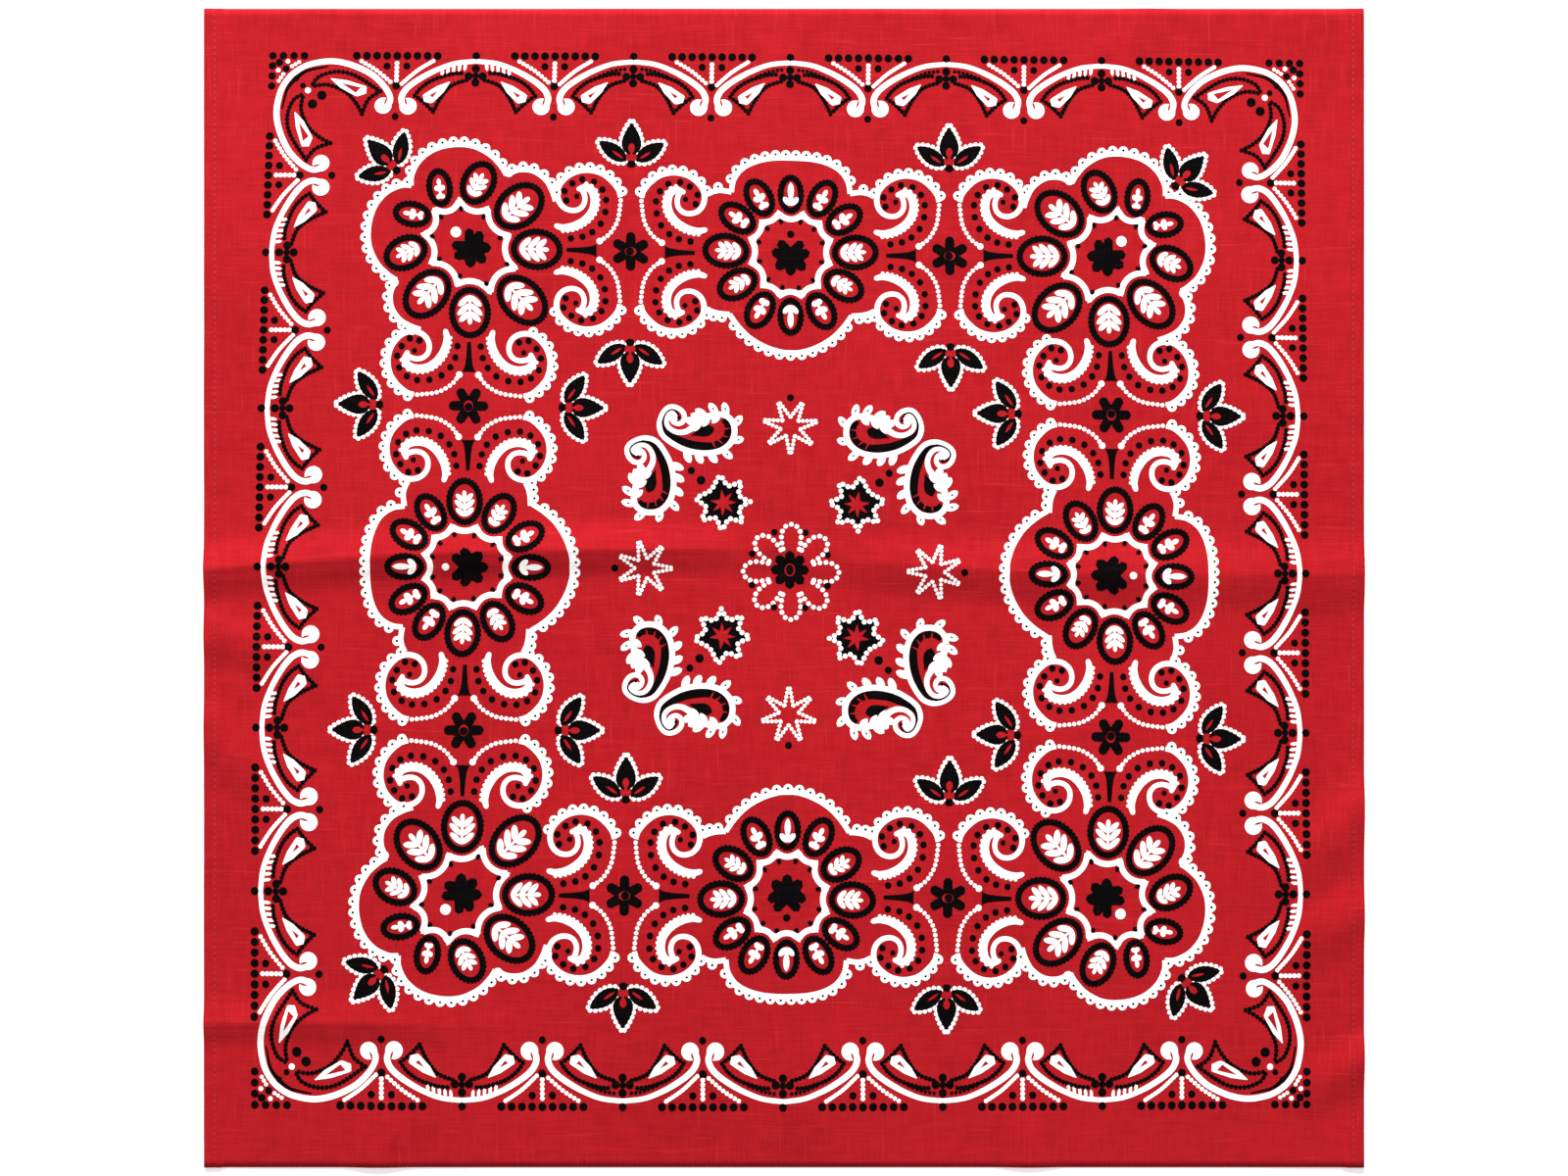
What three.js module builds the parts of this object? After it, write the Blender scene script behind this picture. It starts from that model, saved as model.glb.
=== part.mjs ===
// A cotton bandana lying face up and opened out on a flat surface.
// Millimetres, +Z up. The origin is at the middle of the square, on the surface it rests on.
// +X runs to the right-hand hem and +Y to the far woven edge.
// The cloth is one wall that follows a height map: it lies flat, and rises where folding has left a crease.
import * as THREE from "three";

// Sizes
const SIDE = 559; // finished square, 22 inches
const CLOTH = 1.0; // thickness of the cloth wall
const HEM_WIDTH = 6.2; // turned hems along the left and right edges
const HEM_WALL = 1.0; // thickness of the folded strip under the cloth
const SEAM_GAP = 0.3; // clearance between the cloth and the strip
const HEM_STEP = 4.5; // how far the cloth takes to come down beside the strip
const HEM_RISE = HEM_WALL + SEAM_GAP;
const HALF = SIDE / 2;
const SELVEDGE = 3; // the woven edges along the top and bottom

// Grid that carries the height map
const PLAIN_STEP = 24; // spacing of the lines over plain stretches
const EDGE_STEP = 12; // and near the edges, where the cloth waves
const EDGE_REACH = 72; // how far in from the edges the waves go
const FINE_STEP = 4.5; // and across a crease
const FINE_REACH = 13.5; // how far from the middle of a crease the fine lines go

// Creases and waves left by folding. Each is a soft ridge along a line between two points. bow moves the
// middle of the line sideways, rise is the ridge's height, half is half of its width at its start and end,
// and fade is the share of the line over which each of the two ends dies away.
const FOLDS = {
  centreLeft: { from: [-HALF, 9], to: [24, 17], bow: 5, rise: 3.0, half: [17, 14], fade: [0, 0.35] },
  centreRight: { from: [-6, 16], to: [HALF, 7], bow: -4, rise: 2.7, half: [15, 23], fade: [0.3, 0] },
  secondUpper: { from: [-4, HALF], to: [-5, 2], bow: 2, rise: 1.5, half: [15, 12], fade: [0.2, 0.1] },
  secondLower: { from: [-4, 20], to: [3, -HALF], bow: -3, rise: 1.7, half: [12, 18], fade: [0.2, 0.1] },
  lowCrease: { from: [-HALF, -210], to: [-120, -214], bow: 2, rise: 1.8, half: [12, 15], fade: [0, 0.7] },
  leftHigh: { from: [-HALF, -22], to: [-205, -52], bow: 5, rise: 2.1, half: [16, 22], fade: [0, 0.8] },
  leftLow: { from: [-HALF, -66], to: [-222, -108], bow: -5, rise: 1.8, half: [16, 22], fade: [0, 0.8] },
  rightHigh: { from: [HALF, -104], to: [214, -148], bow: 6, rise: 2.5, half: [18, 24], fade: [0, 0.8] },
  rightMiddle: { from: [HALF, -158], to: [222, -196], bow: -5, rise: 2.1, half: [17, 23], fade: [0, 0.8] },
  rightLow: { from: [HALF, -226], to: [232, -246], bow: 4, rise: 2.6, half: [15, 20], fade: [0, 0.8] },
  nearLeft: { from: [-196, -HALF], to: [-176, -236], bow: 4, rise: 1.8, half: [20, 24], fade: [0, 0.8] },
  nearRight: { from: [118, -HALF], to: [104, -238], bow: -4, rise: 1.6, half: [20, 24], fade: [0, 0.8] },
  farRight: { from: [176, HALF], to: [158, 246], bow: 3, rise: 1.5, half: [18, 22], fade: [0, 0.8] },
};

const smoothstep = (t) => t * t * (3 - 2 * t);
const clamp01 = (t) => Math.min(1, Math.max(0, t));

// How much one fold lifts the cloth over the point (x, y).
function foldHeight({ from, to, bow, rise, half, fade }, x, y) {
  const [dx, dy] = [to[0] - from[0], to[1] - from[1]];
  const length = Math.hypot(dx, dy);
  const t = clamp01(((x - from[0]) * dx + (y - from[1]) * dy) / length ** 2);
  const sideways = (4 * bow * t * (1 - t)) / length;
  const lineX = from[0] + dx * t - dy * sideways;
  const lineY = from[1] + dy * t + dx * sideways;
  const halfWidth = half[0] + (half[1] - half[0]) * t;
  const off = Math.hypot(x - lineX, y - lineY) / halfWidth;
  if (off >= 1) return 0;
  const start = fade[0] > 0 ? smoothstep(clamp01(t / fade[0])) : 1;
  const end = fade[1] > 0 ? smoothstep(clamp01((1 - t) / fade[1])) : 1;
  return rise * start * end * Math.cos((off * Math.PI) / 2) ** 2;
}

// Height of whatever lies lowest, cloth or hem strip, above the surface.
function restHeight(x, y) {
  return Object.values(FOLDS).reduce((sum, fold) => sum + foldHeight(fold, x, y), 0);
}

// Extra height of the cloth where it passes over a hem strip and comes down beside it.
function hemRise(x) {
  const fromEdge = HALF - Math.abs(x);
  if (fromEdge <= HEM_WIDTH) return HEM_RISE;
  return HEM_RISE * (1 - smoothstep(clamp01((fromEdge - HEM_WIDTH) / HEM_STEP)));
}

const clothHeight = (x, y) => restHeight(x, y) + hemRise(x);

// Grid lines from -HALF to HALF: the given ones, fine ones about each crease, and wider ones between.
function gridLines(fixed, creases) {
  const lines = new Set([-HALF, -HALF + EDGE_REACH, HALF - EDGE_REACH, HALF, ...fixed]);
  for (const crease of creases)
    for (let off = -FINE_REACH; off <= FINE_REACH; off += FINE_STEP) lines.add(crease + off);
  const sorted = [...lines].sort((a, b) => a - b);
  const filled = [sorted[0]];
  for (const line of sorted.slice(1)) {
    const from = filled[filled.length - 1];
    const step = Math.abs(from + line) / 2 > HALF - EDGE_REACH ? EDGE_STEP : PLAIN_STEP;
    const count = Math.max(1, Math.round((line - from) / step));
    for (let i = 1; i <= count; i++) filled.push(from + ((line - from) * i) / count);
  }
  return filled;
}

const HEM_INNER = HALF - HEM_WIDTH;
const HEM_FOOT = HEM_INNER - HEM_STEP;
const HEM_LINES = [HEM_FOOT, (HEM_INNER + HEM_FOOT) / 2, HEM_INNER];
const SECOND_FOLD_X = -4;
const CENTRE_FOLD_Y = 14;
const LOW_CREASE_Y = -211;
const X_LINES = gridLines([...HEM_LINES, ...HEM_LINES.map((x) => -x)], [SECOND_FOLD_X]);
const Y_LINES = gridLines([SELVEDGE - HALF, HALF - SELVEDGE], [CENTRE_FOLD_Y, LOW_CREASE_Y]);

// A closed wall between two height maps over a grid of lines.
function wall(xs, ys, low, high) {
  const columns = xs.length;
  const layer = columns * ys.length;
  const positions = [];
  for (const height of [low, high])
    for (const y of ys) for (const x of xs) positions.push(x, y, height(x, y));
  const index = [];
  const quad = (a, b, c, d) => index.push(a, b, c, a, c, d);
  const at = (column, row) => row * columns + column;
  for (let row = 0; row + 1 < ys.length; row++)
    for (let column = 0; column + 1 < columns; column++) {
      const [a, b] = [at(column, row), at(column + 1, row)];
      const [c, d] = [at(column + 1, row + 1), at(column, row + 1)];
      quad(a, d, c, b);
      quad(layer + a, layer + b, layer + c, layer + d);
    }
  const rim = [];
  for (let column = 0; column < columns; column++) rim.push(at(column, 0));
  for (let row = 1; row < ys.length; row++) rim.push(at(columns - 1, row));
  for (let column = columns - 2; column >= 0; column--) rim.push(at(column, ys.length - 1));
  for (let row = ys.length - 2; row > 0; row--) rim.push(at(0, row));
  rim.forEach((a, i) => {
    const b = rim[(i + 1) % rim.length];
    quad(a, b, layer + b, layer + a);
  });
  const geometry = new THREE.BufferGeometry();
  geometry.setAttribute("position", new THREE.Float32BufferAttribute(positions, 3));
  geometry.setIndex(index);
  geometry.computeVertexNormals();
  return geometry;
}

// Red cotton, with the rough, dull face of a plain weave.
const redCotton = () => new THREE.MeshStandardMaterial({ color: 0xcf1f2e, roughness: 0.9, metalness: 0 });

// The square of cloth, from edge to edge.
function makePanel() {
  const geometry = wall(X_LINES, Y_LINES, clothHeight, (x, y) => clothHeight(x, y) + CLOTH);
  const mesh = new THREE.Mesh(geometry, redCotton());
  mesh.name = "panel";
  return mesh;
}

// The twice-turned strip under the left (side -1) or right (side 1) edge, on the cloth's own grid lines.
function makeHem(name, side) {
  const xs = X_LINES.filter((x) => x * side >= HEM_INNER);
  const geometry = wall(xs, Y_LINES, restHeight, (x, y) => restHeight(x, y) + HEM_WALL);
  const mesh = new THREE.Mesh(geometry, redCotton());
  mesh.name = name;
  return mesh;
}

const bandana = new THREE.Group();
bandana.add(makePanel(), makeHem("hem_left", -1), makeHem("hem_right", 1));

export default bandana;
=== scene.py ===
"""A printed cotton bandana, opened out and lying face up, with its cloth, its print and its stitching."""
import cmath
import math

import bmesh
import bpy
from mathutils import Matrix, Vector, noise
from mathutils.geometry import delaunay_2d_cdt


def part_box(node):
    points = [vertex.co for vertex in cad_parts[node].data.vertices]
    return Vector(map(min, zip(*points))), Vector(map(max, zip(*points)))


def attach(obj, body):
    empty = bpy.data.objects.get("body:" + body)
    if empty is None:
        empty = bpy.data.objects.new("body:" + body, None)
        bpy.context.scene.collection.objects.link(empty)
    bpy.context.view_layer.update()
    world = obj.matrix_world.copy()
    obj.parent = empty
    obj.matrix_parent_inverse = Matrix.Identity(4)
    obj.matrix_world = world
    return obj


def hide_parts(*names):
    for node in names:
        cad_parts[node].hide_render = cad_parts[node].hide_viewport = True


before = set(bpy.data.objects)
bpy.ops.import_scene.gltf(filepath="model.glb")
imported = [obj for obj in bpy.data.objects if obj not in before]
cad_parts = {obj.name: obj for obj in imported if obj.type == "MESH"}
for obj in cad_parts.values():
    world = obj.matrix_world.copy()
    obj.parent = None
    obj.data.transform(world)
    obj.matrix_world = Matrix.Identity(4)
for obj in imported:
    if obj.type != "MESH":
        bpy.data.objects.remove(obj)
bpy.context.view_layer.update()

bl_info = {
    "name": "Printed bandana",
    "version": (1, 0, 0),
    "blender": (4, 5, 0),
    "location": "3D View > Sidebar > Bandana",
    "description": "A square of printed red cotton with two turned hems, laid out flat",
    "category": "Add Mesh",
}

MM = 0.001

# Sizes in millimetres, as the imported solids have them
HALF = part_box("panel")[1][0] / MM
HEM_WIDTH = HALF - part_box("hem_right")[0][0] / MM
HEM_WALL = 1.0  # thickness of the folded strip under the cloth
HEM_CLEAR = 0.6  # how far the strip stays in from the edge that rounds over it
HEM_RISE = 1.3  # how much the strip lifts the cloth
HEM_STEP = 4.5  # how far the cloth takes to come down beside the strip

# Finer shape than the solids hold
EDGE_ROLL = 0.9  # the cloth's last stretch, which rounds over the edge of a hem
EDGE_DROP = 0.75
STITCH_IN = 5.0  # line of stitches, from the edge
STITCH_DIP = 0.3  # how far it pulls the cloth in
STITCH_HEIGHT = 0.42  # thickness of the thread, flattened by its pull
STITCH_LIFT = 0.05
ROW_END = 3.0  # length of a hem without stitches, at both ends together
STITCH_DIP_REACH = 1.6
PUCKER = 0.32  # waves that the stitching draws up along a hem
PUCKER_LENGTH = 13.0
RIPPLE = 0.75  # soft unevenness of cloth that was folded and is not ironed
RIPPLE_LENGTH = 78.0
PRESS_RISE = 0.42  # the sharp line pressed in along the middle of a fold
PRESS_HALF = 3.2

# The creases of the solids: soft ridges, each along a line between two points, as (x, y), in millimetres. bow
# moves the middle of the line sideways, half is half of the ridge's width at its start and at its end, fade
# is the share of the line over which each end dies away, and press says how much of the sharp line it has.
FOLDS = (
    dict(start=(-HALF, 9), end=(24, 17), bow=5, rise=3.0, half=(17, 14), fade=(0, 0.35), press=1.0),
    dict(start=(-6, 16), end=(HALF, 7), bow=-4, rise=2.7, half=(15, 23), fade=(0.3, 0), press=0.6),
    dict(start=(-4, HALF), end=(-5, 2), bow=2, rise=1.5, half=(15, 12), fade=(0.2, 0.1), press=0.7),
    dict(start=(-4, 20), end=(3, -HALF), bow=-3, rise=1.7, half=(12, 18), fade=(0.2, 0.1), press=0.8),
    dict(start=(-HALF, -210), end=(-120, -214), bow=2, rise=1.8, half=(12, 15), fade=(0, 0.7), press=0.8),
    dict(start=(-HALF, -22), end=(-205, -52), bow=5, rise=2.1, half=(16, 22), fade=(0, 0.8), press=0),
    dict(start=(-HALF, -66), end=(-222, -108), bow=-5, rise=1.8, half=(16, 22), fade=(0, 0.8), press=0),
    dict(start=(HALF, -104), end=(214, -148), bow=6, rise=2.5, half=(18, 24), fade=(0, 0.8), press=0),
    dict(start=(HALF, -158), end=(222, -196), bow=-5, rise=2.1, half=(17, 23), fade=(0, 0.8), press=0),
    dict(start=(HALF, -226), end=(232, -246), bow=4, rise=2.6, half=(15, 20), fade=(0, 0.8), press=0),
    dict(start=(-196, -HALF), end=(-176, -236), bow=4, rise=1.8, half=(20, 24), fade=(0, 0.8), press=0),
    dict(start=(118, -HALF), end=(104, -238), bow=-4, rise=1.6, half=(20, 24), fade=(0, 0.8), press=0),
    dict(start=(176, HALF), end=(158, 246), bow=3, rise=1.5, half=(18, 22), fade=(0, 0.8), press=0),
)


def clamp(t):
    return min(1.0, max(0.0, t))


def smoothstep(t):
    return t * t * (3 - 2 * t)


def hump(off):
    """1 on the middle line of a ridge and 0 from its edges on."""
    return math.cos(off * math.pi / 2) ** 2 if off < 1 else 0.0


def fold_height(fold, x, y):
    """How much one fold lifts the cloth over a point."""
    (x0, y0), (x1, y1) = fold["start"], fold["end"]
    dx, dy = x1 - x0, y1 - y0
    length = math.hypot(dx, dy)
    t = clamp(((x - x0) * dx + (y - y0) * dy) / length ** 2)
    sideways = 4 * fold["bow"] * t * (1 - t) / length
    away = math.hypot(x - x0 - dx * t + dy * sideways, y - y0 - dy * t - dx * sideways)
    half = fold["half"][0] + (fold["half"][1] - fold["half"][0]) * t
    if away >= half:
        return 0.0
    start = smoothstep(clamp(t / fold["fade"][0])) if fold["fade"][0] else 1.0
    end = smoothstep(clamp((1 - t) / fold["fade"][1])) if fold["fade"][1] else 1.0
    soft = fold["rise"] * hump(away / half)
    sharp = fold["press"] * PRESS_RISE * hump(away / PRESS_HALF)
    return start * end * (soft + sharp)


def rest_height(x, y):
    """The lowest layer's underside: flat, but for the creases and a slight unevenness."""
    uneven = noise.noise(Vector((x / RIPPLE_LENGTH, y / RIPPLE_LENGTH, 3.7)))
    return sum(fold_height(fold, x, y) for fold in FOLDS) + RIPPLE * max(0.0, uneven)


def hem_lift(x, y):
    """How much the strip under a hem lifts the cloth, with the line of stitches pulled in."""
    inside = HALF - abs(x)
    if inside > HEM_WIDTH + HEM_STEP:
        return 0.0
    lift = HEM_RISE * (1 - smoothstep(clamp((inside - HEM_WIDTH) / HEM_STEP)))
    lift -= STITCH_DIP * hump(abs(inside - STITCH_IN) / STITCH_DIP_REACH)
    lift += PUCKER * noise.noise(Vector((x, y / PUCKER_LENGTH, 8.1))) * smoothstep(lift / HEM_RISE)
    if inside < EDGE_ROLL:
        lift -= EDGE_DROP * (1 - math.sqrt(1 - (1 - inside / EDGE_ROLL) ** 2))
    return lift


def cloth_height(x, y):
    """The cloth's underside."""
    return rest_height(x, y) + hem_lift(x, y)


# Grid lines that carry the cloth's shape: wide apart where it is plain, close across a sharp crease or a hem
PLAIN_STEP = 3.45
CREASE_STEP = 1.15
HEM_LINES_IN = (0.3, 0.6, 0.9, 2.1, 3.4, 4.2, 5.0, 5.8, 6.6, 7.7, 8.8, 10.7)


def grid_lines(close, fixed=()):
    """Places of the lines from edge to edge. close holds the stretches that need the close step."""
    lines = {-HALF, HALF, *fixed}
    place = -HALF
    while place < HALF - PLAIN_STEP * 0.7:
        inside = any(low <= place < high for low, high in close)
        place += CREASE_STEP if inside else PLAIN_STEP
        if all(abs(place - line) > 0.8 * CREASE_STEP for line in lines) and abs(place) < HALF:
            if not fixed or HALF - abs(place) > max(HEM_LINES_IN) + 1:
                lines.add(place)
    return sorted(lines)


X_LINES = grid_lines([(-10.5, 4)], [side * (HALF - inside) for side in (-1, 1) for inside in HEM_LINES_IN])
Y_LINES = grid_lines([(2, 23), (-218, -207)])


# The print, drawn flat. A point is a complex number in millimetres. A shape is an ink and an outline, and
# lies over the shapes before it. Bare cloth is an ink too, which opens a hole in what lies under it.
WHITE, BLACK, BARE = "white", "black", "bare"


def through(*places):
    """Points from their places as (x, y)."""
    return [complex(*place) for place in places]


def turn(degrees):
    return cmath.rect(1, math.radians(degrees))


def ellipse(middle, across, up=None, tilt=0, sides=20):
    up = across if up is None else up
    angles = [2 * math.pi * i / sides for i in range(sides)]
    return [middle + turn(tilt) * complex(across * math.cos(a), up * math.sin(a)) for a in angles]


def dot(middle, radius):
    return ellipse(middle, radius, sides=7 if radius < 1.3 else 12)


def toothed_ring(middle, across, up, tilt, teeth, depth):
    """The outline of an ellipse with small blunt teeth all round."""
    outline = []
    for i in range(teeth * 3):
        angle = 2 * math.pi * i / (teeth * 3)
        out = 0 if i % 3 == 0 else depth
        place = complex((across + out) * math.cos(angle), (up + out) * math.sin(angle))
        outline.append(middle + turn(tilt) * place)
    return outline


def leaf(base, tip, half, bulge=1.0, blunt=1.0, steps=7):
    """A leaf or petal. bulge over 1 moves its widest place to the tip, and blunt under 1 rounds its ends."""
    side = (tip - base) / abs(tip - base) * 1j * half
    share = [i / steps for i in range(steps + 1)]
    width = [max(math.sin(math.pi * t ** bulge), 0) ** blunt for t in share]
    left = [base + (tip - base) * t + side * w for t, w in zip(share, width)]
    right = [base + (tip - base) * t - side * w for t, w in zip(share, width)]
    return left + right[-2:0:-1]


def curve(points, steps=5):
    """A smooth line through a few points (Catmull-Rom)."""
    line = []
    for i in range(len(points) - 1):
        a, b, c, d = points[max(i - 1, 0)], points[i], points[i + 1], points[min(i + 2, len(points) - 1)]
        for k in range(steps):
            t = k / steps
            cubic = 3 * b - a - 3 * c + d
            line.append(0.5 * (2 * b + (c - a) * t + (2 * a - 5 * b + 4 * c - d) * t ** 2 + cubic * t ** 3))
    return line + [points[-1]]


def walk(line, spacing):
    """Places at even distances along a line, each with the line's heading there."""
    lengths = [abs(b - a) for a, b in zip(line, line[1:])]
    total = sum(lengths)
    count = max(1, round(total / spacing))
    places, passed, i = [], 0.0, 0
    for k in range(count + 1):
        want = total * k / count
        while i < len(lengths) - 1 and passed + lengths[i] < want:
            passed += lengths[i]
            i += 1
        heading = (line[i + 1] - line[i]) / lengths[i]
        places.append((line[i] + heading * (want - passed), heading))
    return places


def band(ink, line, halves):
    """A painted line whose half width runs through the values in halves from its start to its end."""
    last = len(line) - 1
    rails = []
    for i, p in enumerate(line):
        heading = line[min(i + 1, last)] - line[max(i - 1, 0)]
        if i in (0, last) and abs(line[0] - line[last]) < 1e-6:
            heading = line[1] - line[last - 1]
        place = i / last * (len(halves) - 1)
        k = min(int(place), max(len(halves) - 2, 0))
        half = halves[k] + (halves[min(k + 1, len(halves) - 1)] - halves[k]) * (place - k)
        across = heading / abs(heading) * 1j * half
        rails.append((p + across, p - across))
    return [(ink, [a[0], a[1], b[1], b[0]]) for a, b in zip(rails, rails[1:])]


def beads(ink, line, spacing, radius):
    return [(ink, dot(p, radius)) for p, _ in walk(line, spacing)]


LACE_PITCH = 5.1
LOOP = 2.35  # radius of one loop of the lace
LOOP_OUT = 1.55  # from the line to the loop's middle
EYE = 0.7


def lace_loop(place, out):
    """A white loop with a small dark eye, beside a place on a line."""
    middle = place + out * LOOP_OUT
    return [(WHITE, ellipse(middle, LOOP, sides=12)), (BLACK, ellipse(middle + out * 0.2, EYE, sides=6))]


def lace(line, side, pitch=LACE_PITCH):
    """Loops in a row along one side of a line, on a white band that joins them."""
    shapes = band(WHITE, [p + heading * 1j * side for p, heading in walk(line, pitch / 3)], [1])
    for p, heading in walk(line, pitch):
        shapes += lace_loop(p, heading * 1j * side)
    return shapes


def teeth(line, pitch, side, out, radius):
    """Small round white teeth along one side of a line."""
    return [(WHITE, dot(p + heading * 1j * side * out, radius)) for p, heading in walk(line, pitch)]


def placed(shapes, at=0, degrees=0, mirror=False):
    def move(p):
        return at + turn(degrees) * (p.conjugate() if mirror else p)
    return [(ink, [move(p) for p in outline]) for ink, outline in shapes]


def both_sides(shapes):
    """The shapes and their mirror image across the x axis."""
    return shapes + placed(shapes, mirror=True)


def there_and_back(points):
    """A line that ends on the x axis, carried on by its mirror image."""
    return points + [p.conjugate() for p in points[-2::-1]]


# Medallions
SPRIG_SPREAD = 47  # degrees between the stem and a side leaf
SPRIG_CLEAR = 1.25  # between a leaf's tip and the ring
SPRIG_LEAF = 0.48  # half of a leaf's width, as a share of the space that it has


def sprig(radial, tangential, pairs):
    """A white sprig in an oval of the given half sizes about the origin. It points at the medallion's middle,
    which is to the left, its side leaves come near the oval's edge, and the oval's outer end stays bare."""
    tip, base = 0.9 - radial, radial * 0.5
    pitch = (base - tip) / (pairs + 0.4)
    thick = pitch * math.sin(math.radians(SPRIG_SPREAD)) * SPRIG_LEAF
    shapes = []
    for i in range(pairs):
        root = tip + pitch * (i + 0.12)
        reach = 2 * tangential
        while True:
            end = root + turn(SPRIG_SPREAD) * reach
            away = math.hypot(end.real / (radial - SPRIG_CLEAR), end.imag / (tangential - SPRIG_CLEAR))
            if away < 1:
                break
            reach -= 0.2
        middle = root + turn(SPRIG_SPREAD) * (reach * 0.5 + 0.2)
        shapes.append((WHITE, ellipse(middle, reach / 2, thick, SPRIG_SPREAD, sides=16)))
    shapes = both_sides(shapes) + band(WHITE, [complex(tip + 0.3), complex(base)], [0.6, 0.6])
    return shapes + [(WHITE, ellipse(base - pitch * 0.2, pitch * 0.5, thick * 0.8, sides=12))]


def arrow(radial):
    """The plain sprig of the ovals that lie on a medallion's own axis."""
    tip = 1.6 - radial
    shapes = [(WHITE, leaf(complex(tip + 1.2), complex(radial - 0.8), 1.5, bulge=1.2, blunt=0.6))]
    shapes += both_sides([(WHITE, leaf(complex(tip - 0.6), tip + turn(46) * 5.0, 1.4, bulge=1.1, blunt=0.5))])
    return shapes + [(WHITE, ellipse(tip + 1.3, 1.4, 2.0, sides=12))]


RING = 3.15  # width of the black ring, with its teeth
TOOTH, TOOTH_PITCH = 0.55, 2.1


def oval(angle, distance, radial, tangential, pairs, lean=0):
    """A toothed black ring with a white sprig in it, at an angle and distance from the middle. lean turns it
    out of the ray on which it lies."""
    middle = turn(angle) * distance
    tilt = angle + lean
    around = round(2 * math.pi * math.sqrt((radial ** 2 + tangential ** 2) / 2) / TOOTH_PITCH)
    shapes = [(BLACK, toothed_ring(middle, radial - TOOTH, tangential - TOOTH, tilt, around, TOOTH)),
              (BARE, ellipse(middle, radial - RING, tangential - RING, tilt, sides=22))]
    inner = (radial - RING, tangential - RING)
    inside = sprig(*inner, pairs) if pairs else arrow(inner[0])
    return shapes + placed(inside, at=middle, degrees=tilt)


CUP_GAP = 2.6  # from an oval to the middle of the ring's line
CUP_REACH = 24.0  # as far out as the ring comes between two ovals


def reach_to_ovals(ovals, gap, degrees):
    """How far a ray from the medallion's middle goes before it is within gap of an oval."""
    nearest = CUP_REACH
    for angle, distance, radial, tangential, *_ in ovals:
        ray = turn(degrees - angle)
        a, b = radial + gap, tangential + gap
        qa = (ray.real / a) ** 2 + (ray.imag / b) ** 2
        qb = -2 * ray.real * distance / a ** 2
        qc = (distance / a) ** 2 - 1
        inside = qb * qb - 4 * qa * qc
        if inside > 0 and ray.real > 0:
            nearest = min(nearest, (-qb - math.sqrt(inside)) / (2 * qa))
    return nearest


def cup_ring(ovals):
    """The white ring that cups the inner end of each oval, with a black dot under each of its points."""
    samples = 240
    reach = [reach_to_ovals(ovals, CUP_GAP, 360 * i / samples) for i in range(samples)]
    line = [turn(360 * i / samples) * r for i, r in enumerate(reach)]
    shapes = band(WHITE, line + line[:1], [1.4])
    for i, r in enumerate(reach):
        if r >= reach[i - 1] and r > reach[(i + 1) % samples]:
            out = turn(360 * i / samples)
            shapes.append((WHITE, leaf(out * (r - 3), out * (r + 1.8), 1.5, bulge=0.7)))
            shapes.append((BLACK, leaf(out * (r - 5.6), out * (r - 2.6), 1.1, bulge=0.8, blunt=0.7, steps=5)))
    return shapes


FLOWER_TIPS = [37, 76, 132, 180, 228, 284, 323]
WEDGE = 14  # half of a petal's angle
WIDE_GAP = 70  # an angle between two tips past which their valley is deep


def black_flower():
    """A black flower of seven wedges, with a wide and deep gap between the first and the last, towards +x."""
    line = []
    for a, b in zip(FLOWER_TIPS, FLOWER_TIPS[1:] + [FLOWER_TIPS[0] + 360]):
        line += [turn(a - WEDGE) * 8.6, turn(a) * 9.7, turn(a + WEDGE) * 8.6]
        line.append(turn((a + b) / 2) * (6.6 if b - a < WIDE_GAP else 4.6))
    return [(BLACK, line)]


def medallion_middle(ovals, spot_ink, spot_at, spot_radius):
    shapes = []
    for values in ovals:
        shapes += oval(*values)
    shapes += cup_ring(ovals) + placed(black_flower(), at=-1.0)
    shapes.append((spot_ink, dot(spot_at, spot_radius)))
    return shapes


# Ovals as angle, distance from the middle, half length outwards, half width, pairs of leaves and lean. +x
# points outwards.
MID_OVALS = [(0, 29.6, 9.8, 6.6, 0), (180, 31.0, 9.7, 6.6, 0)]
for side in (-1, 1):
    MID_OVALS += [(side * 29, 31.7, 10.2, 7.1, 2), (side * 56, 31.4, 10.2, 7.2, 2),
                  (side * 87.5, 31.5, 11.6, 9.0, 3), (side * 120.5, 30.0, 10.8, 7.9, 3),
                  (side * 152, 31.7, 10.2, 7.2, 2)]
CORNER_OVALS = [(180, 36.0, 14.3, 10.8, 3)]
for side in (-1, 1):
    CORNER_OVALS += [(side * 17, 31.8, 9.6, 6.6, 2, side * 20), (side * 52, 31.2, 11.4, 8.6, 3, side * 20),
                     (side * 94, 31.2, 13.8, 10.4, 3), (side * 135.5, 32.2, 12.7, 10.3, 3)]

LINE = 1.25  # half width of the white outlines
MID_SADDLE = through((28.8, 40.6), (30.2, 37.8), (30.9, 34), (30.2, 28.9))
MID_OUTER = through((30.2, 28.9), (36, 27.9), (41.4, 24.2), (45, 18), (46.9, 10), (47.3, 0))
MID_INNER_SADDLE = through((-27.8, 40.6), (-29.2, 37.6), (-30, 34), (-30.3, 29.6))
MID_INNER = through((-30.3, 29.6), (-36.2, 25.4), (-41.8, 19.8), (-46.2, 12.4), (-48.6, 5.2), (-49, 0))


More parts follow.
